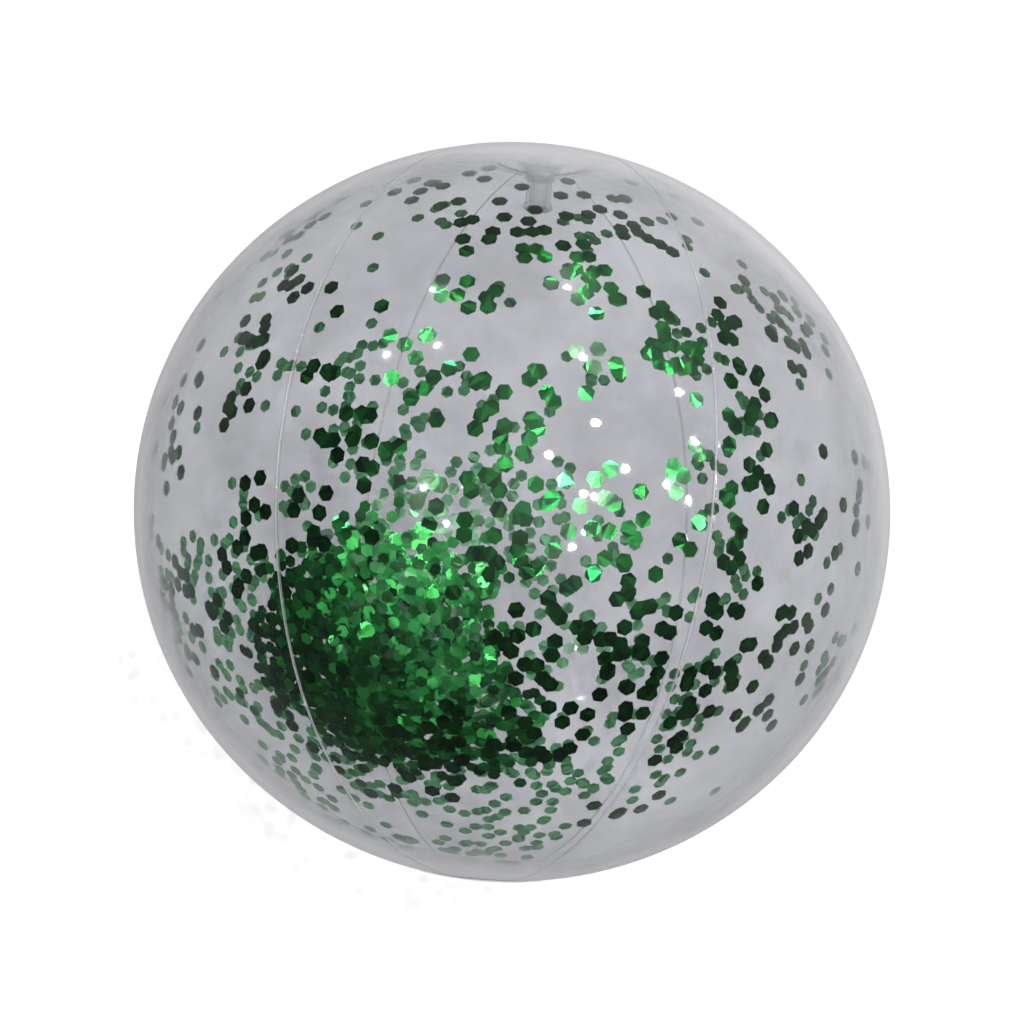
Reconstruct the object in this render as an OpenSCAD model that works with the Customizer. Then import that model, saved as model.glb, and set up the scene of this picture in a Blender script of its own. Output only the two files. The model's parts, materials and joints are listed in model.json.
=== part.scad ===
// Inflatable beach ball: six clear gore panels welded edge to edge round a pole axis, a disc
// over each pole, a push-in valve in one disc, and hexagonal foil confetti sealed inside.
// The ball lies on its side, with the valve end raised. The origin is the middle of the small
// flat that the ball's weight presses into its lowest point, and +Z is up.

/* [Ball] */
// Diameter across the equator of the inflated ball
ball_d = 266; // [240:1:300]
// Diameter from pole to pole, a little less because the end discs hold the poles back
pole_d = 260; // [236:1:294]
// Number of gore panels
gore_count = 6; // [6]
// Thickness of the film
film_t = 0.3; // [0.25:0.05:0.5]
// Width of the welded bead between two panels, at the equator
weld_w = 1.2; // [1:0.1:2]
// How far the valve end is raised above level, in degrees
pole_tilt = 22; // [10:1:40]
// Turn of the first seam from the lowest line of the ball, in degrees
seam_turn = 8; // [8:1:12]
// How far the lowest point is pressed flat
foot_sag = 0.75; // [0.5:0.05:1]

/* [End discs] */
// Diameter of the disc welded over each pole
disc_d = 43; // [41:1:48]
// Diameter of the round gap that the panel tips leave under a disc
tip_gap_d = 33; // [32.5:0.5:34]

/* [Valve] */
// Diameter of the hole that the valve comes through
valve_hole_d = 18.4; // [18.4:0.2:19]
// Diameter of the valve's welded flange
flange_d = 31; // [29:0.5:31.5]
// Thickness of the flange
flange_t = 0.8; // [0.6:0.1:1]
// Outer diameter of the stem
stem_d = 9.2; // [8.8:0.1:9.4]
// Bore of the stem
stem_bore_d = 6.4; // [6.2:0.1:6.6]
// Length of the stem
stem_l = 19.8; // [19:0.1:24]
// Diameter of the stopper's head and of the stem's rim
head_d = 11.2; // [10.8:0.1:11.4]
// Length of the stopper's tapered plug
plug_l = 5; // [4:0.1:5]

/* [Confetti] */
// Width of a confetti flake across its corners
flake_d = 5.5; // [5:0.1:6]
// Thickness of a flake
flake_t = 0.1; // [0.08:0.01:0.12]
// Single flakes scattered over the wall, beside the clusters
scattered = 210; // [50:10:300]
// Radius of the loose heap
heap_r = 58; // [44:1:62]
// Layers of flakes in the loose heap
heap_layers = 5; // [5:1:6]

/* [Hidden] */
equator_r = ball_d / 2;
pole_r = pole_d / 2;
// The ball's outline is a four-centre oval: side arcs and pole arcs meet 45 degrees from the axis.
arc_offset = (equator_r - pole_r) / (2 - sqrt(2));
side_arc_r = equator_r - arc_offset;
pole_arc_r = pole_r + arc_offset;
gore_angle = 360 / gore_count;
foot_y = arc_offset * sin(pole_tilt);
centre_z = arc_offset * cos(pole_tilt) + side_arc_r - foot_sag;
foot_r = 18;
foot_cut = 4;
bead_angle = asin(weld_w / 2 / equator_r);
weld_gap = 0.03;
tip_r = tip_gap_d / 2;
stem_top = 0.8;
stem_r = stem_d / 2;
bore_r = stem_bore_d / 2;
head_r = head_d / 2;
rim_t = 1.4;
stem_low = stem_top - stem_l;
// Ring round the stem's inner end, which stops against the skirt's guide
stop_ring_r = 5.3;
stop_ring_h = 1.4;
// Guide at the skirt's narrow end, in which the stem slides
guide_play = 0.1;
guide_top = -5.6;
guide_low = -8;
guide_wall_r = 5.6;
skirt_top = -0.45;
skirt_t = 0.7;
// Hinges of the stopper and of the flap: beads in cups, both as wide as the strap
strap_w = 4;
strap_t = 0.9;
strap_bead_r = 0.55;
hinge_play = 0.1;
hinge_x = -7.6;
hinge_z = 0.75;
flap_t = 0.5;
flap_r = 4.4;
flap_hinge_x = -4.9;
// Depths of the flakes below the film's inner face: those on the wall, then those of the heap
wall_gap = 0.12;
level_step = 0.16;
wall_levels = 3;
// Least gap between the corners of flakes on one level, at the wall
flake_gap = 0.25;
heap_gap = 1.1;
heap_step = 0.35;
seat_gap = 0.05;
flap_mid = stem_low - seat_gap - flap_t / 2;
// Clusters of flakes on the wall: longitude from the lowest line, angle from the valve pole,
// radius in mm, and how many flakes are tried.
CLUSTERS = [
    [140, 42, 18, 10], [160, 48, 20, 12], [177, 46, 16, 10], [150, 53, 12, 8], [166, 55, 16, 10],
    [181, 50, 12, 10], [170, 60, 10, 10], [148, 65, 9, 10], [154, 66, 9, 10], [172, 63, 14, 8],
    [178, 71, 9, 10], [171, 75, 9, 10], [161, 77, 9, 6], [118, 72, 9, 14], [122, 77, 9, 10],
    [123, 64, 8, 6], [119, 83, 8, 8], [133, 80, 8, 6], [147, 78, 18, 12], [142, 88, 16, 14],
    [160, 86, 14, 14], [182, 75, 10, 12], [186, 72, 8, 8], [190, 65, 9, 9], [187, 83, 9, 12],
    [184, 89, 9, 12], [194, 77, 13, 14], [196, 88, 12, 14], [204, 94, 12, 14], [206, 68, 14, 8],
    [186, 98, 8, 9], [124, 96, 10, 14], [121, 106, 12, 14], [134, 100, 14, 8], [163, 100, 10, 8],
    [168, 102, 12, 12], [165, 115, 13, 22], [176, 113, 12, 18], [178, 106, 10, 10],
    [192, 107, 10, 14], [190, 117, 10, 18], [184, 124, 10, 14], [192, 124, 10, 12],
    [170, 128, 14, 18], [156, 128, 16, 14], [150, 138, 18, 12], [128, 130, 20, 12],
    [126, 146, 20, 10], [188, 142, 22, 12], [207, 118, 22, 14], [216, 90, 22, 14],
    [210, 60, 22, 14], [112, 50, 24, 14], [104, 84, 20, 14], [100, 112, 20, 16],
    [6, 62, 14, 18], [12, 74, 16, 32], [2, 82, 14, 22], [8, 80, 16, 18], [356, 86, 14, 18],
    [24, 86, 12, 16], [45, 66, 12, 10], [34, 64, 12, 9], [56, 48, 16, 10], [34, 88, 10, 12],
    [30, 100, 14, 22], [38, 112, 16, 24], [46, 102, 16, 24], [57, 104, 14, 14], [58, 114, 16, 18],
    [32, 127, 18, 28], [44, 124, 20, 24], [66, 98, 16, 10], [24, 24, 16, 10], [352, 42, 12, 8],
    [350, 60, 14, 14], [322, 24, 14, 10], [326, 54, 12, 8], [300, 50, 16, 14], [272, 44, 16, 16],
    [292, 64, 14, 14], [282, 86, 14, 16], [303, 72, 10, 12], [304, 82, 10, 12], [296, 96, 14, 14],
    [346, 76, 14, 18], [348, 90, 14, 18], [338, 92, 14, 16], [326, 104, 14, 14], [304, 116, 14, 18],
    [298, 122, 16, 12], [330, 130, 14, 26], [344, 134, 16, 20], [358, 139, 16, 26],
    [314, 124, 14, 16], [294, 132, 22, 16], [316, 138, 16, 14], [322, 149, 20, 18],
    [346, 148, 20, 20], [12, 146, 20, 22], [34, 141, 18, 20], [266, 112, 22, 16],
    [40, 152, 20, 12], [342, 158, 20, 12], [6, 158, 20, 12],
    [18, 60, 14, 22], [16, 68, 12, 16], [138, 88, 10, 8], [1, 68, 14, 16], [155, 82, 12, 8],
    [359, 78, 16, 30], [149, 95, 12, 8], [347, 78, 16, 26], [157, 94, 12, 10], [165, 94, 14, 10],
    [336, 78, 14, 10], [173, 92, 10, 6], [346, 88, 12, 20], [158, 103, 10, 6], [335, 88, 12, 12],
    [174, 101, 12, 10], [323, 88, 12, 10], [193, 99, 12, 14], [299, 88, 10, 6], [192, 90, 12, 10],
    [191, 82, 12, 12], [192, 73, 12, 10], [181, 64, 12, 8], [37, 106, 16, 30], [116, 112, 10, 8],
    [36, 96, 14, 14], [167, 110, 12, 8], [334, 100, 14, 12], [182, 108, 12, 14],
    [310, 98, 14, 14], [206, 106, 14, 10], [182, 116, 12, 12], [313, 110, 14, 14],
    [198, 116, 14, 14], [296, 110, 12, 10], [177, 117, 12, 10], [320, 110, 14, 12],
    [168, 119, 10, 8], [332, 112, 12, 12], [28, 128, 16, 24], [42, 142, 18, 20],
    [18, 140, 18, 34], [0, 140, 18, 40], [343, 138, 16, 34], [327, 137, 16, 28],
    [314, 136, 14, 12], [330, 124, 12, 14], [192, 126, 12, 12], [303, 122, 12, 14],
    [14, 160, 20, 14], [338, 160, 20, 14], [316, 156, 18, 10], [103, 94, 14, 6]
];
film_colour = [0.86, 0.87, 0.89, 0.3];
valve_colour = [0.8, 0.82, 0.84, 0.6];

// Puts the ball's own axis (z, valve end up, x towards the lowest line) into the resting pose.
module resting() {
    translate([0, -foot_y, centre_z])
        rotate([pole_tilt - 90, 0, 0])
            rotate([0, 0, 90])
                children();
}

// A flat sector of the ring between two radii about a centre on the given point.
module ring_sector(centre, r_in, r_out, from, to) {
    reach = 2 * r_out;
    translate(centre)
        intersection() {
            difference() {
                circle(r = r_out, $fn = 180);
                circle(r = r_in, $fn = 180);
            }
            polygon([
                [0, 0],
                reach * [cos(from), sin(from)],
                reach * [cos((from + to) / 2), sin((from + to) / 2)],
                reach * [cos(to), sin(to)]
            ]);
        }
}

// Half outline of a skin of the ball, between two depths below its outer surface.
module skin_profile(top, bottom) {
    ring_sector([arc_offset, 0], side_arc_r - bottom, side_arc_r - top, -45, 45);
    ring_sector([0, -arc_offset], pole_arc_r - bottom, pole_arc_r - top, 45, 90);
    ring_sector([0, arc_offset], pole_arc_r - bottom, pole_arc_r - top, -90, -45);
}

// The same half outline without the part nearer to the axis than from_r.
module gore_profile(top, bottom, from_r) {
    difference() {
        skin_profile(top, bottom);
        translate([-1, -equator_r])
            square([1 + from_r, 2 * equator_r]);
    }
}

// A wedge round the ball's axis, between two longitudes.
module lune(from, to) {
    reach = 2 * equator_r;
    linear_extrude(2 * reach, center = true)
        polygon([
            [0, 0],
            reach * [cos(from), sin(from)],
            reach * [cos((from + to) / 2), sin((from + to) / 2)],
            reach * [cos(to), sin(to)]
        ]);
}

// The thickened edges of a panel along its seams, which narrow with the panel towards its tips.
module weld_beads() {
    intersection() {
        rotate([0, 0, 180])
            rotate_extrude($fn = 180)
                gore_profile(film_t / 3, 2 * film_t, tip_r + weld_w);
        union() {
            lune(-bead_angle, bead_angle);
            lune(gore_angle - bead_angle, gore_angle + bead_angle);
        }
    }
}

// A panel from pole disc to pole disc, with half a weld bead along each edge.
module gore_shell() {
    intersection() {
        union() {
            rotate([0, 0, 180])
                rotate_extrude($fn = 180)
                    gore_profile(0, film_t, tip_r);
            weld_beads();
        }
        lune(0, gore_angle);
    }
}

module gore(index) {
    resting()
        rotate([0, 0, seam_turn + (index - 1) * gore_angle])
            gore_shell();
}

// The film pressed flat under the ball, level with the floor on both faces.
module foot_pad() {
    intersection() {
        translate([0, 0, -foot_cut])
            cylinder(r = foot_r, h = foot_cut + film_t, $fn = 96);
        resting()
            rotate_extrude($fn = 180)
                translate([arc_offset, 0])
                    ring_sector([0, 0], side_arc_r - foot_cut, side_arc_r - film_t / 3, -40, -5);
    }
}

// The panel under the ball, with its flat foot.
module bottom_gore(index) {
    difference() {
        union() {
            gore(index);
            foot_pad();
        }
        translate([0, 0, -foot_cut])
            cylinder(r = foot_r, h = foot_cut, $fn = 96);
    }
}

module gore_panel(index) {
    color(film_colour)
        if (index == gore_count)
            bottom_gore(index);
        else
            gore(index);
}

// A cap of the ball's own curve that lies on the panel tips, from one radius to another.
module pole_cap(r_in, r_out, top, bottom) {
    rotate_extrude($fn = 180)
        intersection() {
            ring_sector([0, -arc_offset], pole_arc_r - bottom, pole_arc_r - top, 60, 90);
            translate([r_in, 0])
                square([r_out - r_in, equator_r * 1.1]);
        }
}

module valve_end_disc() {
    color(film_colour)
        resting()
            pole_cap(valve_hole_d / 2, disc_d / 2, -weld_gap - film_t, -weld_gap);
}

module plain_end_disc() {
    color(film_colour)
        resting()
            mirror([0, 0, 1])
                pole_cap(0, disc_d / 2, -weld_gap - film_t, -weld_gap);
}

// Valve parts are drawn round the axis, with z = 0 at the film on the valve pole.
module at_valve() {
    resting()
        translate([0, 0, pole_r])
            children();
}

module valve_flange() {
    color(valve_colour)
        resting()
            pole_cap(valve_hole_d / 2, flange_d / 2, 0, flange_t);
}

// The soft cone between the flange and the stem, which folds when the valve is pushed in.
module valve_skirt() {
    top_r = valve_hole_d / 2 - weld_gap;
    guide_r = stem_r + guide_play;
    color(valve_colour)
        at_valve()
            rotate_extrude($fn = 96)
                polygon([
                    [top_r, skirt_top], [top_r, skirt_top - skirt_t],
                    [guide_wall_r, guide_top - 1], [guide_wall_r, guide_low],
                    [guide_r, guide_low], [guide_r, guide_top],
                    [guide_r + 0.4, guide_top + 0.4], [top_r - skirt_t, skirt_top]
                ]);
}

// The tube that is blown through, with a rim, a stop ring and the lug of the stopper's hinge.
module valve_stem() {
    color(valve_colour)
        at_valve()
            difference() {
                union() {
                    translate([0, 0, stem_low])
                        cylinder(r = stem_r, h = stem_l, $fn = 96);
                    translate([0, 0, stem_low])
                        cylinder(r = stop_ring_r, h = stop_ring_h, $fn = 96);
                    translate([0, 0, stem_top - rim_t])
                        cylinder(r = head_r, h = rim_t, $fn = 96);
                    translate([hinge_x, -strap_w / 2, hinge_z - 1.05])
                        cube([3, strap_w, 1]);
                }
                translate([0, 0, stem_low - 1])
                    cylinder(r = bore_r, h = stem_l + 2, $fn = 96);
                translate([hinge_x, strap_w, hinge_z])
                    rotate([90, 0, 0])
                        cylinder(r = strap_bead_r + hinge_play, h = 2 * strap_w, $fn = 48);
            }
}

// The soft disc that shuts the inner end of the stem.
module check_flap() {
    color(valve_colour)
        at_valve()
            translate([0, 0, flap_mid]) {
                translate([0, 0, -flap_t / 2])
                    cylinder(r = flap_r, h = flap_t, $fn = 96);
                translate([flap_hinge_x, -strap_w / 2, -flap_t / 2])
                    cube([2, strap_w, flap_t]);
                translate([flap_hinge_x, strap_w / 2, 0])
                    rotate([90, 0, 0])
                        cylinder(r = flap_t / 2, h = strap_w, $fn = 48);
            }
}

// The stopper: a head with a pull tab on a tapered plug.
module stopper_plug() {
    seat = stem_top + seat_gap;
    color(valve_colour)
        at_valve() {
            rotate_extrude($fn = 96)
                polygon([
                    [0, seat - plug_l], [0.56 * bore_r, seat - plug_l], [bore_r - 0.1, seat],
                    [head_r, seat], [head_r, seat + 1.1], [head_r - 0.4, seat + 1.5],
                    [0, seat + 1.5]
                ]);
            translate([head_r - 1, -strap_w / 2, seat + 0.1])
                cube([3, strap_w, strap_t]);
        }
}

// The short strap from the head to the hinge bead.
module stopper_strap() {
    color(valve_colour)
        at_valve() {
            difference() {
                translate([hinge_x, -strap_w / 2, hinge_z + hinge_play])
                    cube([2.6, strap_w, strap_t]);
                translate([0, 0, -1])
                    cylinder(r = head_r + 0.02, h = 5, $fn = 96);
            }
            translate([hinge_x, strap_w / 2, hinge_z])
                rotate([90, 0, 0])
                    cylinder(r = strap_bead_r, h = strap_w, $fn = 48);
        }
}

// ---- Confetti ----

// Places children on the inside of the wall: u is the angle of the wall's normal from the
// valve pole, lon goes round the axis, and depth is below the film's inner face.
module on_wall(lon, u, depth) {
    side = u > 45 && u < 135;
    rotate([0, 0, lon])
        translate(side ? [arc_offset, 0, 0] : [0, 0, u > 90 ? arc_offset : -arc_offset])
            rotate([0, u, 0])
                translate([0, 0, (side ? side_arc_r : pole_arc_r) - film_t - depth])
                    children();
}

module flake(spin) {
    rotate([0, 0, spin])
        translate([0, 0, -flake_t])
            cylinder(d = flake_d, h = flake_t, $fn = 6);
}

// Distance from the axis, and along it from the middle, of the wall where its normal has angle u.
function wall_radius(u) = u > 45 && u < 135 ? arc_offset + side_arc_r * sin(u) : pole_arc_r * sin(u);
function wall_height(u) =
    u > 45 && u < 135 ? side_arc_r * cos(u) : pole_arc_r * cos(u) + (u > 90 ? 1 : -1) * arc_offset;

function wall_point(lon, u) = [wall_radius(u) * cos(lon), wall_radius(u) * sin(lon), wall_height(u)];

// True when a flake here would touch none of those kept on the same level.
function is_free(p, kept, i) =
    i < 0 || (norm(wall_point(kept[i][0], kept[i][1]) - p) > flake_d + flake_gap && is_free(p, kept, i - 1));

// Goes through the tries in turn, and keeps those with room.
function keep_free(tries, i = 0, kept = []) =
    i >= len(tries) ? kept :
    keep_free(tries, i + 1,
        is_free(wall_point(tries[i][0], tries[i][1]), kept, len(kept) - 1)
            ? concat(kept, [tries[i]]) : kept);

// Distance along the wall from the middle of the flat that the ball stands on.
function foot_distance(lon, u) = norm(wall_point(lon, u) - wall_point(0, 90 + pole_tilt));

// Flakes tried round the middle of one cluster, thinning out to its edge.
function cluster_tries(k) =
    let (
        n = CLUSTERS[k][3],
        reach = CLUSTERS[k][2] / 2,
        across_1 = rands(-1, 1, n, k + 10),
        across_2 = rands(-1, 1, n, k + 110),
        along_1 = rands(-1, 1, n, k + 210),
        along_2 = rands(-1, 1, n, k + 310),
        turn = rands(0, 60, n, k + 410)
    )
    [for (i = [0:n - 1])
        let (
            u = CLUSTERS[k][1] + (along_1[i] + along_2[i]) * reach / side_arc_r * 180 / PI,
            lon = CLUSTERS[k][0] + (across_1[i] + across_2[i]) * reach / (equator_r * sin(u)) * 180 / PI
        )
        [lon, u, turn[i], i % wall_levels]];

// Single flakes tried all over the wall.
function scatter_tries() =
    let (
        around = rands(0, 360, scattered, 1),
        height = rands(-0.93, 0.93, scattered, 2),
        turn = rands(0, 60, scattered, 3)
    )
    [for (i = [0:scattered - 1]) [around[i], acos(height[i]), turn[i], i % wall_levels]];

// All the tries for the wall, clusters first.
wall_tries = concat([for (k = [0:len(CLUSTERS) - 1]) each cluster_tries(k)], scatter_tries());

// The tries that fall well inside one panel, on one of the levels, and clear of the foot.
function gore_tries(index, level) =
    [for (f = wall_tries)
        let (
            past_seam = (f[0] - seam_turn - (index - 1) * gore_angle + 720) % 360,
            margin = asin((flake_d / 2 + weld_w) / (equator_r * sin(f[1])))
        )
        if (f[3] == level && past_seam > margin && past_seam < gore_angle - margin
            && foot_distance(f[0], f[1]) > foot_r + flake_d)
            f];

// Flakes that cling to the inside of one panel, on a few levels where they lap.
module wall_confetti(index) {
    color([0.07, 0.4, 0.14])
        resting()
            for (level = [0:wall_levels - 1])
                for (f = keep_free(gore_tries(index, level)))
                    on_wall(f[0], f[1], wall_gap + level * level_step)
                        flake(f[2]);
}

// Tries for one layer of the heap, on a disc round the lowest point of the wall.
function heap_tries(layer) =
    let (
        n = 660 - layer * 100,
        out = rands(0, 1, n, layer + 300),
        round = rands(0, 360, n, layer + 400),
        turn = rands(0, 60, n, layer + 500),
        reach = heap_r * (1 - 0.17 * layer)
    )
    [for (i = [0:n - 1])
        let (
            away = reach * sqrt(out[i]),
            u = 90 + pole_tilt + away * cos(round[i]) / side_arc_r * 180 / PI,
            lon = away * sin(round[i]) / (equator_r * sin(u)) * 180 / PI
        )
        [lon, u, turn[i]]];

// The loose heap, a stack of layers that shrink upwards.
module loose_confetti(first, last) {
    color([0.06, 0.36, 0.12])
        resting()
            for (layer = [first:last])
                for (f = keep_free(heap_tries(layer)))
                    on_wall(f[0], f[1], heap_gap + layer * heap_step)
                        flake(f[2]);
}

gore_panel(1);  // gore_panel_1
gore_panel(2);  // gore_panel_2
gore_panel(3);  // gore_panel_3
gore_panel(4);  // gore_panel_4
gore_panel(5);  // gore_panel_5
gore_panel(6);  // gore_panel_6
valve_end_disc();
plain_end_disc();
valve_flange();
valve_skirt();
valve_stem();
check_flap();
stopper_plug();
stopper_strap();
wall_confetti(1);  // wall_confetti_1
wall_confetti(2);  // wall_confetti_2
wall_confetti(3);  // wall_confetti_3
wall_confetti(4);  // wall_confetti_4
wall_confetti(5);  // wall_confetti_5
wall_confetti(6);  // wall_confetti_6
loose_confetti(0, 1);  // loose_confetti_lower
loose_confetti(2, 3);  // loose_confetti_middle
loose_confetti(4, heap_layers - 1);  // loose_confetti_upper
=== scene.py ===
"""Looks of the clear confetti beach ball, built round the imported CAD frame.

The ball's own axis runs from the plain pole to the valve pole. Places on its wall are given by
lon, the angle round that axis from the lowest line, and u, the angle from the valve pole of the
wall's normal. Lengths are in metres.
"""

import json
import math
import random

import bpy
from mathutils import Matrix, Vector


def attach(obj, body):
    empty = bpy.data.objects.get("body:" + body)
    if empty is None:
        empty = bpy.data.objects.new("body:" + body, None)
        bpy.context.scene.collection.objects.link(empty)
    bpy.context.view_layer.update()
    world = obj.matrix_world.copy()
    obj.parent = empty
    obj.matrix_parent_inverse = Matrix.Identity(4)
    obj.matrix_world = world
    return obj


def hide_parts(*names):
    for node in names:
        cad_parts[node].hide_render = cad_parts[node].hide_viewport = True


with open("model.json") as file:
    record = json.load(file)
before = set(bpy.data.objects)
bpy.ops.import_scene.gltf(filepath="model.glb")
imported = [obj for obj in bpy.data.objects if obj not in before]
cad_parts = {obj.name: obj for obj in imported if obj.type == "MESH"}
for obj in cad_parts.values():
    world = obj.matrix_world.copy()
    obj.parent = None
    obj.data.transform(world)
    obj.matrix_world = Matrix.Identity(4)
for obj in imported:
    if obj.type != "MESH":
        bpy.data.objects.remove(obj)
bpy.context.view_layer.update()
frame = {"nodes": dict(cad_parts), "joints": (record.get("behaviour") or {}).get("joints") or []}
JOINTS = {j["name"]: j for j in frame["joints"]}

MM = 0.001
CENTRE = Vector(JOINTS["confetti_roll"]["pos_m"])
POLE = Vector(JOINTS["confetti_roll"]["axis"]).normalized()

# Sizes of the ball, as in the CAD model
EQUATOR_R = 133 * MM
POLE_R = 130 * MM
FILM_T = 0.3 * MM
TIP_R = 16.5 * MM
GORES = 6
SEAM_TURN = 8
HALF_WIDTH = EQUATOR_R * math.pi / GORES

# Panels on the low side, whose flakes take a paler copy of the foil: painted light for their hazy
# look
LOWER_PANELS = (1, 5, 6)

# The outline is a four-centre oval, whose side and pole arcs meet 45 degrees from the axis.
ARC_OFFSET = (EQUATOR_R - POLE_R) / (2 - math.sqrt(2))
SIDE_ARC_R = EQUATOR_R - ARC_OFFSET
POLE_ARC_R = POLE_R + ARC_OFFSET

# The ball's own axes in the row frame: x towards the lowest line, z towards the valve pole
LOW = (Vector((0, 0, -1)) + POLE * POLE.z).normalized()
SIDE = POLE.cross(LOW)
BALL_AXES = Matrix((LOW, SIDE, POLE)).transposed()

# A weld: the width of its thick band, and how far from the seam its pale core and dark edge reach
# The pale core is a painted highlight for the glint along the bead, the dark edge painted shade
WELD_W = 1.2 * MM
WELD_GLINT_CORE = 0.2 * MM
WELD_SHADE_EDGE = 0.48 * MM

# Beside a seam the film is drawn in a little, and a fine groove runs along the seam itself
SEAM_SINK = 0.1 * MM
SEAM_SINK_FADE = 18 * MM
GROOVE_DEPTH = 0.12 * MM
GROOVE_W = 0.35 * MM

# Ripples beside a seam: depth, where they fade out and how far from the seam they are whole
PUCKER_DEPTH = 0.035 * MM
PUCKER_FADE = 6 * MM
PUCKER_WHOLE = 1.2 * MM
PUCKER_WAVES = 5

# A panel's rows of points across it, in mm from a seam, then evenly to its middle, and along it
NEAR_SEAM = [0, 0.1, 0.2, 0.34, 0.48, 0.55, 0.62, 0.9, 1.4, 2.0, 2.8, 3.8, 5.0, 6.5, 8.5, 11, 14]
FAR_STEPS = 16
PANEL_ROWS = 150

# The loose heap: its middle, how crowded that is, and how many flakes stray and how far
FLAKE_R = 2.75 * MM
FLAKE_T = 0.06 * MM
FLAKE_BEND = 0.06
HEAP_LON = 4
HEAP_U = 114
HEAP_CROWDING = 0.62
HEAP_STRAYS = 0.22
HEAP_STRAY_REACH = 1.35

# Radii in mm that turn a distance along the wall into degrees of u and of lon
HEAP_ARC_R = 128
HEAP_GIRTH_R = 133

# Layers of the heap: name, reach, depth below the film and its spread in mm, usual tilt in
# degrees (three times that at most), and number of flakes
HEAP_LAYERS = [
    ("lower", 58, 2.2, 0.4, 4, 1250),
    ("middle", 50, 3.2, 0.6, 8, 760),
    ("upper", 38, 4.6, 0.9, 11, 360),
]

# Camera: where it stands round the ball, how far off, and how it is turned
VIEW_LON = 161
VIEW_U = 96.2
VIEW_ROLL = 4.8
VIEW_DISTANCE = 751 * MM
VIEW_LENS = 73.95
SENSOR_W = 36

# Share of light that a face of the film mirrors face on, and what is added when seen slantwise
FILM_MIRROR = 0.022
VALVE_MIRROR = 0.01
FILM_EDGE_MIRROR = 0.1
FILM_ROUGHNESS = 0.04

# Haze that a panel gains where it is seen slantwise, before HAZE_POWER holds it to the edge
FILM_EDGE_HAZE = 2.6

# Powers of slantwise() at which the mirror, the haze and the edge tint come in
MIRROR_POWER = 5.0
HAZE_POWER = 5.5
TINT_POWER = 3.0

# Noise patterns, as scale, detail and sometimes roughness
CLOUD_NOISE = (30, 3.0)
SMOKE_NOISE = (22, 4.0, 0.6)
WRINKLE_NOISE = (60, 4.0)
CRINKLE_NOISE = (700, 2.0)
FLOOR_NOISE = (3, 2.0)

# The film's haze comes in clouds, this much of the noise and this much everywhere
CLOUD_GAIN = 1.6
CLOUD_BASE = 0.2

# The film's smoky patches let this share through, and lie below SMOKE_FROM of their noise
SMOKE_SHARE = 0.92
SMOKE_FROM = 0.35
SMOKE_TO = 0.62
WRINKLE_STRENGTH = 0.12
WRINKLE_HEIGHT = 0.6 * MM

# Foil: how far a flake's shine leans at random, its clear coat, crinkles, and how fast its
# random wear reaches the roughest
FOIL_LEAN = 0.17
FOIL_COAT_ROUGHNESS = 0.18
CRINKLE_STRENGTH = 0.3
CRINKLE_HEIGHT = 0.1 * MM
WEAR_GAIN = 3.0

# Foil colours, from the darkest flake to the lightest
BRIGHT_FOIL = [
    (0.0, (0.006, 0.13, 0.040, 1)),
    (0.35, (0.012, 0.30, 0.045, 1)),
    (0.75, (0.035, 0.48, 0.075, 1)),
    (1.0, (0.075, 0.66, 0.12, 1)),
]
# A darker copy of the bright foil for the loose heap: painted shade of the deep pile
SHADED_HEAP_FOIL = [
    (0.0, (0.004, 0.055, 0.014, 1)),
    (0.5, (0.008, 0.125, 0.022, 1)),
    (0.85, (0.015, 0.200, 0.034, 1)),
    (1.0, (0.060, 0.550, 0.100, 1)),
]
# A paler, greyer copy of the bright foil: painted light for far flakes seen through the haze
PAINTED_PALE_FOIL = [
    (0.0, (0.050, 0.16, 0.080, 1)),
    (0.5, (0.100, 0.29, 0.140, 1)),
    (1.0, (0.160, 0.44, 0.200, 1)),
]

# Floor: half its side, its two whites, and a glow that grows between two distances from the ball
FLOOR_HALF = 3.0
FLOOR_WHITES = [(0.3, (0.86, 0.86, 0.86, 1)), (0.7, (0.89, 0.89, 0.89, 1))]
FLOOR_ROUGHNESS = 0.85
FLOOR_GLOW = 0.06
FAR_FLOOR_GLOW = 0.9
GLOW_FROM = 0.7
GLOW_TO = 2.4

# World: what the camera sees, what lights matt faces, and a dark patchy room for reflections
BACKDROP = (0.86, 0.865, 0.87, 1)
SOFT_DOME = (0.2, 0.2, 0.203, 1)
ROOM_PATCHES = 2.2
PATCH_SHADES = [(0.4, (0.3, 0.3, 0.3, 1)), (0.6, (1, 1, 1, 1))]
HEIGHT_SHADES = [
    (0.3, (0.004, 0.008, 0.011, 1)),
    (0.5, (0.05, 0.055, 0.06, 1)),
    (0.8, (0.40, 0.41, 0.42, 1)),
]

# Lights: two large soft ones, and small round lamps in the ceiling as x, y and watts. Only lamps
# within SHADOW_REACH of the ball's upright line throw shadows.
KEY_AT = (-1.2, -0.6, 2.4)
KEY_WATTS = 5
FILL_AT = (1.4, 0.9, 2.2)
FILL_WATTS = 1
SOFT_LIGHT_D = 1.6
CEILING = 2.4
SHADOW_REACH = 0.8
LAMP_D = 0.09
LAMP_POWER = 4.8
CEILING_LAMPS = [
    (0.0, 0.74, 1.4), (1.14, 0.52, 1.4), (0.1, -0.06, 1.0), (0.14, -0.92, 1.6), (0.0, -0.9, 1.0),
    (0.46, -0.53, 0.8), (1.05, -0.64, 1.0), (1.45, -0.8, 1.2), (1.38, 0.0, 1.2), (0.0, 2.0, 1.4),
    (-0.4, -0.47, 0.5), (-0.06, -1.7, 1.2), (-2.4, -1.0, 2.0), (-1.85, 1.28, 1.4), (-2.1, 2.9, 1.6),
    (-3.1, 1.67, 2.6),
]

DISCS = ("valve_end_disc", "plain_end_disc")
VALVE_PIECES = (
    "valve_flange", "valve_skirt", "valve_stem", "check_flap", "stopper_plug", "stopper_strap")


# ---- Places on the wall ----

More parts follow.
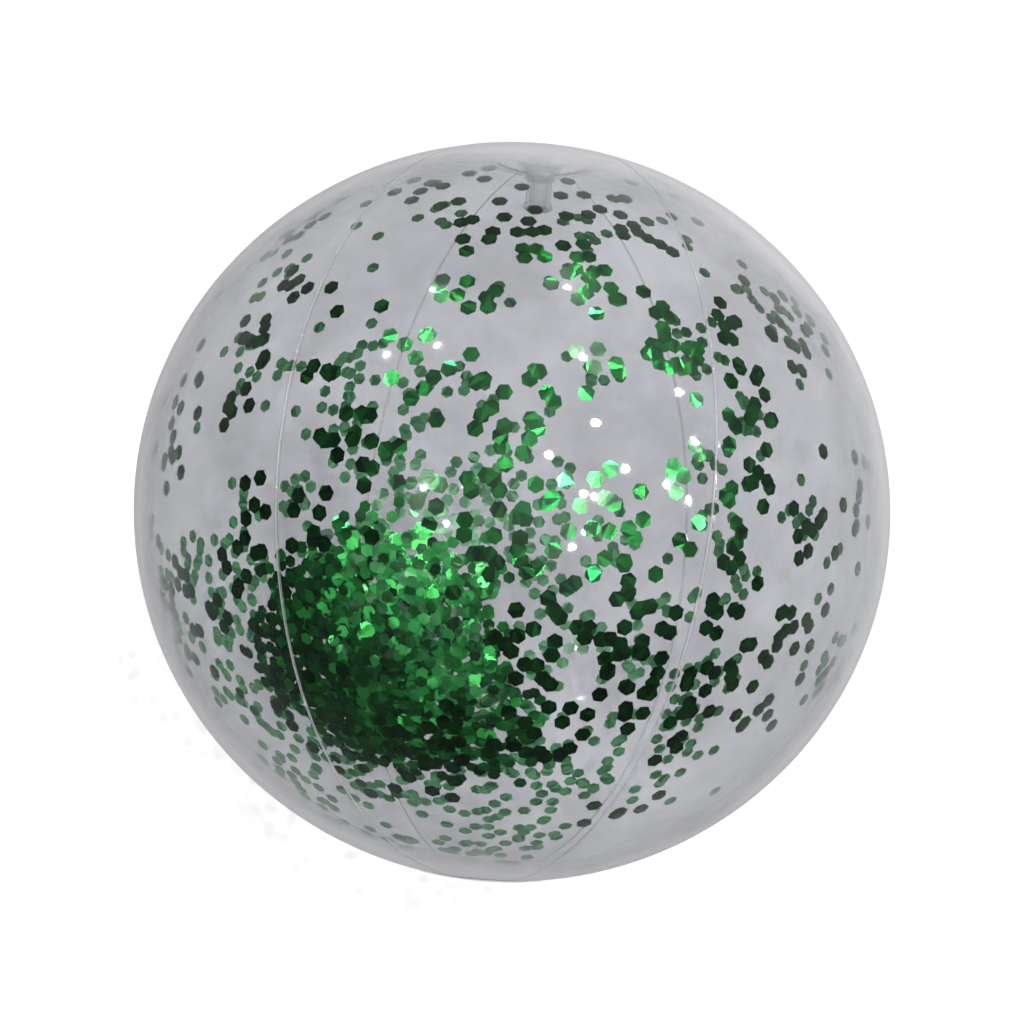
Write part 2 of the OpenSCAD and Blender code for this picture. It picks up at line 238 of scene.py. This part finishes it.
def wall_normal(lon, u):
    """Outward normal of the wall, in the row frame. Angles in degrees."""
    a, b = math.radians(lon), math.radians(u)
    return BALL_AXES @ Vector((math.sin(b) * math.cos(a), math.sin(b) * math.sin(a), math.cos(b)))


def wall_point(lon, u, depth):
    """A point that deep below the outer face of the film, in the row frame."""
    a, b = math.radians(lon), math.radians(u)
    if 45 <= u <= 135:
        r = ARC_OFFSET + (SIDE_ARC_R - depth) * math.sin(b)
        z = (SIDE_ARC_R - depth) * math.cos(b)
    else:
        r = (POLE_ARC_R - depth) * math.sin(b)
        z = (POLE_ARC_R - depth) * math.cos(b) + (ARC_OFFSET if u > 90 else -ARC_OFFSET)
    return CENTRE + BALL_AXES @ Vector((r * math.cos(a), r * math.sin(a), z))


def seam_lon(k):
    return SEAM_TURN + k * 360 / GORES


# ---- Shader helpers ----

def new_material(name):
    mat = bpy.data.materials.new(name)
    mat.use_nodes = True
    mat.node_tree.nodes.clear()
    return mat, mat.node_tree


def node(tree, kind, **values):
    """A new node, with values for its inputs by name (spaces as _) or its own settings."""
    made = tree.nodes.new(kind)
    for key, value in values.items():
        socket = key.replace("_", " ")
        if socket in made.inputs:
            made.inputs[socket].default_value = value
        else:
            setattr(made, key, value)
    return made


def feed(tree, socket, value):
    """Links a socket to another one, or sets it to a number or tuple."""
    if isinstance(value, (int, float, tuple)):
        socket.default_value = value
    else:
        tree.links.new(value, socket)


def maths(tree, operation, a, b):
    made = node(tree, "ShaderNodeMath", operation=operation)
    feed(tree, made.inputs[0], a)
    feed(tree, made.inputs[1], b)
    return made.outputs[0]


def scaled(tree, value, factor, added):
    """value * factor + added."""
    return maths(tree, "ADD", maths(tree, "MULTIPLY", value, factor), added)


def vector_maths(tree, operation, a, b=None):
    """Vector maths on a and b, each a socket or a tuple. For SCALE, b is a number."""
    made = node(tree, "ShaderNodeVectorMath", operation=operation)
    feed(tree, made.inputs[0], a)
    if b is not None:
        feed(tree, made.inputs["Scale" if operation == "SCALE" else 1], b)
    return made.outputs["Value" if operation == "LENGTH" else "Vector"]


def colour_ramp(tree, factor, stops):
    ramp = tree.nodes.new("ShaderNodeValToRGB")
    ramp.color_ramp.elements[0].position, ramp.color_ramp.elements[0].color = stops[0]
    ramp.color_ramp.elements[1].position, ramp.color_ramp.elements[1].color = stops[-1]
    for at, colour in stops[1:-1]:
        ramp.color_ramp.elements.new(at).color = colour
    tree.links.new(factor, ramp.inputs[0])
    return ramp.outputs[0]


def noise(tree, scale, detail, roughness=0.5):
    place = tree.nodes.new("ShaderNodeTexCoord")
    made = node(tree, "ShaderNodeTexNoise", Scale=scale, Detail=detail, Roughness=roughness)
    tree.links.new(place.outputs["Object"], made.inputs["Vector"])
    return made.outputs["Fac"]


def bump(tree, height, strength, distance):
    """A bump node, whose Normal output is ready and whose Normal input may be linked."""
    made = node(tree, "ShaderNodeBump", Strength=strength, Distance=distance)
    tree.links.new(height, made.inputs["Height"])
    return made


def mix_shaders(tree, factor, a, b):
    made = tree.nodes.new("ShaderNodeMixShader")
    for socket, value in zip(made.inputs, (factor, a, b)):
        feed(tree, socket, value)
    return made.outputs[0]


def output(tree, shader):
    out = tree.nodes.new("ShaderNodeOutputMaterial")
    tree.links.new(shader, out.inputs["Surface"])


# ---- Materials ----

def slantwise(tree, power):
    """How slantwise a face is seen, from 0 face on to 1 at its edge, raised to a power."""
    facing = node(tree, "ShaderNodeLayerWeight", Blend=0.5).outputs["Facing"]
    return maths(tree, "POWER", facing, power)


def film_tint(tree, tint, edge_tint):
    """Colour of the light that film lets through, face on and slantwise, with smoky patches."""
    through = node(tree, "ShaderNodeMix", data_type="RGBA")
    tree.links.new(slantwise(tree, TINT_POWER), through.inputs[0])
    for socket in through.inputs:
        if socket.type == "RGBA":
            socket.default_value = (*(tint if socket.name == "A" else edge_tint), 1)
    clean = [o for o in through.outputs if o.type == "RGBA"][0]
    smoky = colour_ramp(tree, noise(tree, *SMOKE_NOISE), [
        (SMOKE_FROM, (SMOKE_SHARE, SMOKE_SHARE, SMOKE_SHARE, 1)), (SMOKE_TO, (1, 1, 1, 1))])
    return vector_maths(tree, "MULTIPLY", clean, smoky)


def film_gloss(tree):
    """The film's glossy face, with fine wrinkles."""
    gloss = node(tree, "ShaderNodeBsdfGlossy", Color=(1, 1, 1, 1), Roughness=FILM_ROUGHNESS)
    wrinkle = bump(tree, noise(tree, *WRINKLE_NOISE), WRINKLE_STRENGTH, WRINKLE_HEIGHT)
    tree.links.new(wrinkle.outputs["Normal"], gloss.inputs["Normal"])
    return gloss.outputs[0]


def film_material(name, tint, edge_tint, haze, haze_colour, edge_haze=0.0, mirror=FILM_MIRROR):
    """Clear film: passes most light, scatters some in a cloudy haze, and has a glossy face."""
    mat, tree = new_material(name)
    clear = tree.nodes.new("ShaderNodeBsdfTransparent")
    tree.links.new(film_tint(tree, tint, edge_tint), clear.inputs["Color"])
    milk = node(tree, "ShaderNodeBsdfDiffuse", Color=(*haze_colour, 1))
    cloud = scaled(tree, noise(tree, *CLOUD_NOISE), CLOUD_GAIN, CLOUD_BASE)
    scatter = scaled(tree, slantwise(tree, HAZE_POWER), edge_haze, haze)
    veil = maths(tree, "MULTIPLY", cloud, scatter)
    body = mix_shaders(tree, veil, clear.outputs[0], milk.outputs[0])
    shine = scaled(tree, slantwise(tree, MIRROR_POWER), FILM_EDGE_MIRROR, mirror)
    output(tree, mix_shaders(tree, shine, body, film_gloss(tree)))
    return mat


def foil_normal(tree, normal, spin):
    """A flake's own normal, leant a little at random, with its crinkles."""
    offset = vector_maths(tree, "SUBTRACT", spin, (0.5, 0.5, 0.5))
    lean = vector_maths(tree, "SCALE", offset, FOIL_LEAN)
    unit = vector_maths(tree, "NORMALIZE", vector_maths(tree, "ADD", normal, lean))
    crinkle = bump(tree, noise(tree, *CRINKLE_NOISE), CRINKLE_STRENGTH, CRINKLE_HEIGHT)
    tree.links.new(unit, crinkle.inputs["Normal"])
    return crinkle.outputs["Normal"]


def foil_material(name, colours, metallic, smoothest, roughest, coat):
    """Green metallised foil, each flake a little different in colour, gloss and lie."""
    mat, tree = new_material(name)
    geometry = tree.nodes.new("ShaderNodeNewGeometry")
    per_flake = geometry.outputs["Random Per Island"]
    spin = node(tree, "ShaderNodeTexWhiteNoise", noise_dimensions="1D")
    tree.links.new(per_flake, spin.inputs["W"])
    foil = node(tree, "ShaderNodeBsdfPrincipled", Metallic=metallic, Coat_Weight=coat,
                Coat_Roughness=FOIL_COAT_ROUGHNESS)
    tree.links.new(colour_ramp(tree, per_flake, colours), foil.inputs["Base Color"])
    normal = foil_normal(tree, geometry.outputs["Normal"], spin.outputs["Color"])
    tree.links.new(normal, foil.inputs["Normal"])
    worn = maths(tree, "MINIMUM", maths(tree, "MULTIPLY", spin.outputs["Value"], WEAR_GAIN), 1.0)
    tree.links.new(scaled(tree, worn, roughest - smoothest, smoothest), foil.inputs["Roughness"])
    output(tree, foil.outputs[0])
    return mat


def floor_material():
    """A white floor that glows a little, and more far off, so that it stays white throughout."""
    mat, tree = new_material("pale_floor")
    shade = colour_ramp(tree, noise(tree, *FLOOR_NOISE), FLOOR_WHITES)
    place = tree.nodes.new("ShaderNodeTexCoord")
    glow = node(tree, "ShaderNodeMapRange", From_Min=GLOW_FROM, From_Max=GLOW_TO,
                To_Min=FLOOR_GLOW, To_Max=FAR_FLOOR_GLOW)
    away = vector_maths(tree, "LENGTH", place.outputs["Object"])
    tree.links.new(away, glow.inputs["Value"])
    ground = node(tree, "ShaderNodeBsdfPrincipled", Roughness=FLOOR_ROUGHNESS)
    tree.links.new(glow.outputs["Result"], ground.inputs["Emission Strength"])
    tree.links.new(shade, ground.inputs["Base Color"])
    tree.links.new(shade, ground.inputs["Emission Color"])
    output(tree, ground.outputs[0])
    return mat


# ---- Meshes ----

def make_piece(name, verts, faces, materials, smooth=True, face_material=None):
    """A mesh object; face_material gives the number of each face's material."""
    mesh = bpy.data.meshes.new(name)
    mesh.from_pydata([tuple(v) for v in verts], [], faces)
    mesh.update()
    mesh.polygons.foreach_set("use_smooth", [smooth] * len(mesh.polygons))
    for material in materials:
        mesh.materials.append(material)
    if face_material:
        mesh.polygons.foreach_set("material_index", face_material)
    obj = bpy.data.objects.new(name, mesh)
    bpy.context.scene.collection.objects.link(obj)
    return obj


def seam_steps():
    """Where a panel's lengthwise rows of points lie, from 0 at its seam to 1 at its middle."""
    middle = HALF_WIDTH / MM
    last = NEAR_SEAM[-1]
    far = [last + (middle - last) * i / FAR_STEPS for i in range(1, FAR_STEPS + 1)]
    return [d / middle for d in NEAR_SEAM + far]


def pucker_waves(rng):
    """Size, frequency and phase of the ripples beside one seam."""
    return [(rng.uniform(0.5, 1.6), rng.uniform(20, 60), rng.uniform(0, 6.28))
            for _ in range(PUCKER_WAVES)]


PUCKER_RNG = random.Random(11)
PUCKERS = [pucker_waves(PUCKER_RNG) for _ in range(GORES)]


def pucker(k, u, distance):
    """Ripple of the film beside seam k: short waves along it that fade within a centimetre."""
    waves = sum(s * math.sin(math.radians(u) * f + p) for s, f, p in PUCKERS[k % GORES])
    return (PUCKER_DEPTH * waves * math.exp(-distance / PUCKER_FADE)
            * min(1.0, distance / PUCKER_WHOLE))


def panel_depth(seam, u, off, outside):
    """How deep a face of the film lies, that far off a seam as measured at the equator."""
    distance = off * math.sin(math.radians(u))
    sink = SEAM_SINK * math.exp(-distance / SEAM_SINK_FADE)
    depth = max(0.0, sink + pucker(seam, u, distance))
    if outside:
        return depth + GROOVE_DEPTH * math.exp(-(distance / GROOVE_W) ** 2)
    return depth + (2 * FILM_T if off < WELD_W / 2 else FILM_T)


def panel_points(index, across):
    """Points of the panel's outer face, row by row from the valve end, then of its inner face."""
    first = seam_lon(index - 1)
    width = 360 / GORES
    tip_u = math.degrees(math.asin(TIP_R / POLE_ARC_R))
    points = []
    for outside in (True, False):
        for i in range(PANEL_ROWS + 1):
            u = tip_u + (180 - 2 * tip_u) * i / PANEL_ROWS
            for s in across:
                seam = index - 1 if s < 1 else index
                depth = panel_depth(seam, u, min(s, 2 - s) * HALF_WIDTH, outside)
                point = wall_point(first + s / 2 * width, u, depth)
                point.z = max(point.z, 0.0 if outside else FILM_T)
                points.append(point)
    return points


def weld_zone(off):
    """Which of the film, weld core and weld edge materials a face takes, that far off the seam."""
    if off < WELD_GLINT_CORE:
        return 1
    return 2 if off < WELD_SHADE_EDGE else 0


def panel_faces(across):
    """Faces of the two sides and the rim of a panel, and the number of each one's material."""
    n = len(across)
    half = (PANEL_ROWS + 1) * n
    faces, zones = [], []
    for i in range(PANEL_ROWS):
        for j in range(n - 1):
            a = i * n + j
            faces.append((a, a + n, a + n + 1, a + 1))
            b = half + a
            faces.append((b, b + 1, b + n + 1, b + n))
            middle = (across[j] + across[j + 1]) / 2
            zones += [weld_zone(min(middle, 2 - middle) * HALF_WIDTH)] * 2
    for i in range(PANEL_ROWS):
        a, b = i * n, i * n + n - 1
        faces.append((a, a + half, a + n + half, a + n))
        faces.append((b, b + n, b + n + half, b + half))
        zones += [1, 1]
    for j in range(n - 1):
        a, b = j, PANEL_ROWS * n + j
        faces.append((a, a + 1, a + 1 + half, a + half))
        faces.append((b, b + half, b + 1 + half, b + 1))
        zones += [0, 0]
    return faces, zones


def film_panel(index, materials):
    """One panel: a thin closed shell, drawn in a little beside its two seams."""
    steps = seam_steps()
    across = steps + [2 - s for s in reversed(steps[:-1])]
    faces, zones = panel_faces(across)
    verts = panel_points(index, across)
    piece = make_piece(f"film_panel_{index}", verts, faces, materials, face_material=zones)
    piece.visible_shadow = False
    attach(piece, "ball")
    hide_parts(f"gore_panel_{index}")


def add_flake(verts, faces, place, bend):
    """Adds one hexagonal flake, folded a little across its middle."""
    start = len(verts)
    for side in (0.5, -0.5):
        for i in range(6):
            a = math.radians(60 * i)
            x, y = FLAKE_R * math.cos(a), FLAKE_R * math.sin(a)
            verts.append(place @ Vector((x, y, side * FLAKE_T + abs(y) * bend)))
    t = list(range(start, start + 6))
    b = list(range(start + 6, start + 12))
    faces.append((t[0], t[1], t[2], t[3]))
    faces.append((t[3], t[4], t[5], t[0]))
    faces.append((b[3], b[2], b[1], b[0]))
    faces.append((b[0], b[5], b[4], b[3]))
    for i in range(6):
        j = (i + 1) % 6
        faces.append((t[j], t[i], b[i], b[j]))


def flake_place(lon, u, depth, spin, tilt, tilt_way):
    """Where a flake lies: that deep, turned by spin and tipped off the wall by tilt (degrees)."""
    flat = wall_normal(lon, u).to_track_quat("Z", "Y").to_matrix().to_4x4()
    hinge = Vector((math.cos(tilt_way), math.sin(tilt_way), 0))
    lean = Matrix.Rotation(math.radians(tilt), 4, hinge)
    turn = Matrix.Rotation(math.radians(spin), 4, "Z")
    return Matrix.Translation(wall_point(lon, u, depth)) @ flat @ lean @ turn


LOBE_RNG = random.Random(3)
HEAP_LOBES = [
    (LOBE_RNG.uniform(0.03, 0.09), n, LOBE_RNG.uniform(0, 6.28)) for n in (2, 3, 5, 7, 11)]


def heap_edge(way):
    """How far the heap spreads in one direction, as a share of its mean radius."""
    return 1 + sum(size * math.sin(n * way + turn) for size, n, turn in HEAP_LOBES)


def heap_spot(rng, reach):
    """lon and u of a random place in the heap."""
    way = rng.uniform(0, 2 * math.pi)
    out = reach * heap_edge(way) * rng.random() ** HEAP_CROWDING
    if rng.random() < HEAP_STRAYS:
        out *= rng.uniform(1.0, HEAP_STRAY_REACH)
    u = HEAP_U + math.degrees(out * math.cos(way) / HEAP_ARC_R)
    girth = HEAP_GIRTH_R * math.sin(math.radians(u))
    return HEAP_LON + math.degrees(out * math.sin(way) / girth), u


def heap_flakes(rng, reach, depth, spread, lean, count):
    """Points and faces of one layer's flakes, tipped all ways."""
    verts, faces = [], []
    for _ in range(count):
        lon, u = heap_spot(rng, reach)
        below = (depth + rng.uniform(-spread, spread)) * MM
        spin = rng.uniform(0, 60)
        tilt = max(-3 * lean, min(3 * lean, rng.gauss(0, lean)))
        place = flake_place(lon, u, below, spin, tilt, rng.uniform(0, 2 * math.pi))
        add_flake(verts, faces, place, rng.uniform(-FLAKE_BEND, FLAKE_BEND))
    return verts, faces


def heap(foil):
    """The loose flakes, in three layers as in the CAD model."""
    rng = random.Random(5)
    for name, *layer in HEAP_LAYERS:
        verts, faces = heap_flakes(rng, *layer)
        piece = make_piece(f"confetti_heap_{name}", verts, faces, [foil], smooth=False)
        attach(piece, "loose_confetti")
        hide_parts(f"loose_confetti_{name}")


# ---- Stage, lights and camera ----

def stage():
    size = FLOOR_HALF
    corners = [(-size, -size, 0), (size, -size, 0), (size, size, 0), (-size, size, 0)]
    floor = make_piece("floor", corners, [(0, 1, 2, 3)], [floor_material()], smooth=False)
    floor.visible_glossy = False


def dark_room(tree):
    """What glossy faces mirror: a room that is dark low down and patchy above."""
    place = tree.nodes.new("ShaderNodeTexCoord")
    clumps = node(tree, "ShaderNodeTexNoise", Scale=ROOM_PATCHES, Detail=1.0, Roughness=0.4)
    tree.links.new(place.outputs["Generated"], clumps.inputs["Vector"])
    patches = colour_ramp(tree, clumps.outputs["Fac"], PATCH_SHADES)
    split = tree.nodes.new("ShaderNodeSeparateXYZ")
    tree.links.new(place.outputs["Generated"], split.inputs[0])
    height = colour_ramp(tree, split.outputs["Z"], HEIGHT_SHADES)
    room = tree.nodes.new("ShaderNodeBackground")
    tree.links.new(vector_maths(tree, "MULTIPLY", height, patches), room.inputs["Color"])
    return room.outputs[0]


def surroundings():
    """A pale backdrop for the camera, a soft dome for matt faces and a dark room for the rest."""
    world = bpy.data.worlds.new("studio")
    bpy.context.scene.world = world
    world.use_nodes = True
    tree = world.node_tree
    tree.nodes.clear()
    rays = tree.nodes.new("ShaderNodeLightPath")
    dome = node(tree, "ShaderNodeBackground", Color=SOFT_DOME).outputs[0]
    backdrop = node(tree, "ShaderNodeBackground", Color=BACKDROP).outputs[0]
    unseen = mix_shaders(tree, rays.outputs["Is Diffuse Ray"], dark_room(tree), dome)
    background = mix_shaders(tree, rays.outputs["Is Camera Ray"], unseen, backdrop)
    out = tree.nodes.new("ShaderNodeOutputWorld")
    tree.links.new(background, out.inputs["Surface"])


def area_light(name, place, size, watts, mirrored, shadow):
    data = bpy.data.lights.new(name, "AREA")
    data.shape = "DISK"
    data.size = size
    data.energy = watts
    data.use_shadow = shadow
    obj = bpy.data.objects.new(name, data)
    obj.location = place
    obj.rotation_euler = (CENTRE - Vector(place)).to_track_quat("-Z", "Y").to_euler()
    obj.visible_glossy = mirrored
    obj.visible_camera = False
    bpy.context.scene.collection.objects.link(obj)


def lights():
    area_light("key", KEY_AT, SOFT_LIGHT_D, KEY_WATTS, mirrored=False, shadow=False)
    area_light("fill", FILL_AT, SOFT_LIGHT_D, FILL_WATTS, mirrored=False, shadow=True)
    for i, (x, y, watts) in enumerate(CEILING_LAMPS):
        area_light(f"lamp_{i}", (x, y, CEILING), LAMP_D, watts * LAMP_POWER,
                   mirrored=True, shadow=math.hypot(x, y) < SHADOW_REACH)


def camera():
    data = bpy.data.cameras.new("camera")
    data.lens = VIEW_LENS
    data.sensor_width = SENSOR_W
    obj = bpy.data.objects.new("camera", data)
    bpy.context.scene.collection.objects.link(obj)
    back = wall_normal(VIEW_LON, VIEW_U)
    pole_up = (POLE - back * POLE.dot(back)).normalized()
    roll = math.radians(VIEW_ROLL)
    up = pole_up * math.cos(roll) - pole_up.cross(back) * math.sin(roll)
    right = up.cross(back)
    axes = Matrix((right, up, back)).transposed().to_4x4()
    obj.matrix_world = Matrix.Translation(CENTRE + back * VIEW_DISTANCE) @ axes
    bpy.context.scene.camera = obj


# ---- The whole ball ----

def dress(name, material):
    """Gives a CAD node its material."""
    materials = frame["nodes"][name].data.materials
    materials.clear()
    materials.append(material)


def panel_films():
    """Materials of a panel: its film, and the core and edge of its welds, with painted highlight
    and shade.
    """
    film = film_material(
        "clear_film", tint=(0.847, 0.850, 0.863), edge_tint=(0.925, 0.927, 0.937),
        haze=0.004, haze_colour=(0.55, 0.553, 0.566), edge_haze=FILM_EDGE_HAZE)
    # Weld core: a pale milky strip, a painted highlight for the glint of light along the bead
    core = film_material(
        "weld_core_painted_glint", tint=(0.86, 0.87, 0.88), edge_tint=(0.86, 0.87, 0.88),
        haze=0.25, haze_colour=(0.85, 0.86, 0.87))
    # Weld edge: darker film, painted shade where the bead's shoulders bend the light away
    edge = film_material(
        "weld_edge_painted_shade", tint=(0.70, 0.71, 0.72), edge_tint=(0.76, 0.77, 0.78),
        haze=0.03, haze_colour=(0.4, 0.41, 0.42))
    return [film, core, edge]


def ends():
    """The two end discs, of the film's own kind, and the milkier vinyl pieces of the valve."""
    patch = film_material(
        "disc_film", tint=(0.90, 0.905, 0.915), edge_tint=(0.95, 0.953, 0.957),
        haze=0.01, haze_colour=(0.5, 0.505, 0.52), mirror=VALVE_MIRROR)
    vinyl = film_material(
        "valve_vinyl", tint=(0.965, 0.967, 0.97), edge_tint=(0.95, 0.952, 0.955),
        haze=0.16, haze_colour=(0.56, 0.57, 0.59), mirror=VALVE_MIRROR)
    for name in DISCS:
        dress(name, patch)
    for name in VALVE_PIECES:
        dress(name, vinyl)


def panels():
    """The six panels and the flakes that cling to them."""
    films = panel_films()
    bright = foil_material(
        "green_foil", BRIGHT_FOIL, metallic=0.95, smoothest=0.08, roughest=0.2, coat=1.0)
    # The low panels' flakes get a paler, less metallic copy of the foil, as painted light
    painted_pale = foil_material(
        "green_foil_painted_pale", PAINTED_PALE_FOIL, metallic=0.35, smoothest=0.2, roughest=0.4, coat=0.3)
    for index in range(1, GORES + 1):
        film_panel(index, films)
        dress(f"wall_confetti_{index}", painted_pale if index in LOWER_PANELS else bright)


def main():
    bpy.context.scene.view_settings.view_transform = "Standard"
    camera()
    stage()
    surroundings()
    lights()
    panels()
    ends()
    # The heap's flakes take a darker copy of the foil, which is painted shade
    heap(foil_material(
        "green_foil_heap_painted_shade", SHADED_HEAP_FOIL, metallic=0.9, smoothest=0.06, roughest=0.34, coat=0.3))


main()
